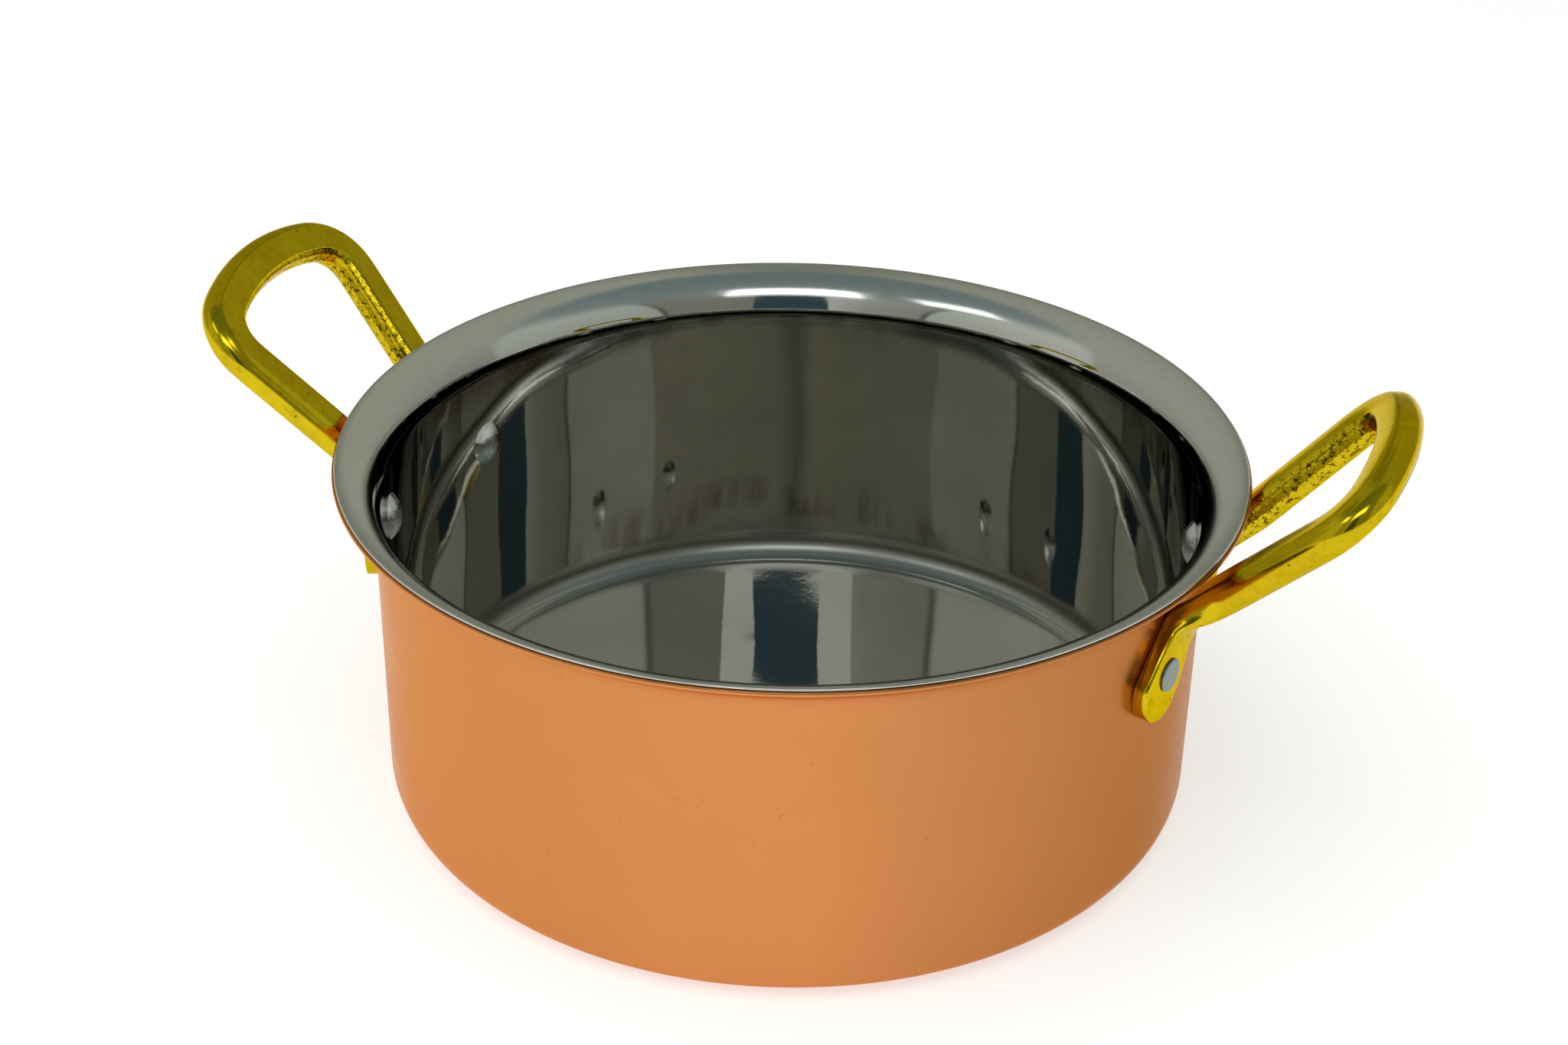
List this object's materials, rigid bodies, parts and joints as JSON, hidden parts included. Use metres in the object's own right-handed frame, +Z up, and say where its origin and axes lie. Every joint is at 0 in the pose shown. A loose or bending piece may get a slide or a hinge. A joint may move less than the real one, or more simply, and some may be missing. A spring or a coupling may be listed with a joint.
{
  "type": "two-handled casserole pan",
  "caption": "Round copper casserole pan with a stainless-steel lining, a flared lip, a flat base and two riveted brass loop handles.",
  "frame": {"origin": "middle of the flat base, on the surface the pan stands on", "axes": "+Z up out of the pan, +X towards one handle and -X towards the other, +Y across"},
  "size_m": [0.24, 0.18, 0.0976],
  "materials": {
    "copper": "satin-polished copper",
    "stainless": "polished stainless steel, satin on the lip",
    "brass": "polished cast brass with file marks inside the loops",
    "rivet_steel": "hammered bright steel"
  },
  "bodies": {
    "root": {"copper_shell": "copper", "steel_liner": "stainless", "handle_right": "brass", "handle_left": "brass", "rivet_right_back": "rivet_steel", "rivet_right_front": "rivet_steel", "rivet_left_front": "rivet_steel", "rivet_left_back": "rivet_steel"}
  },
  "joints": []
}
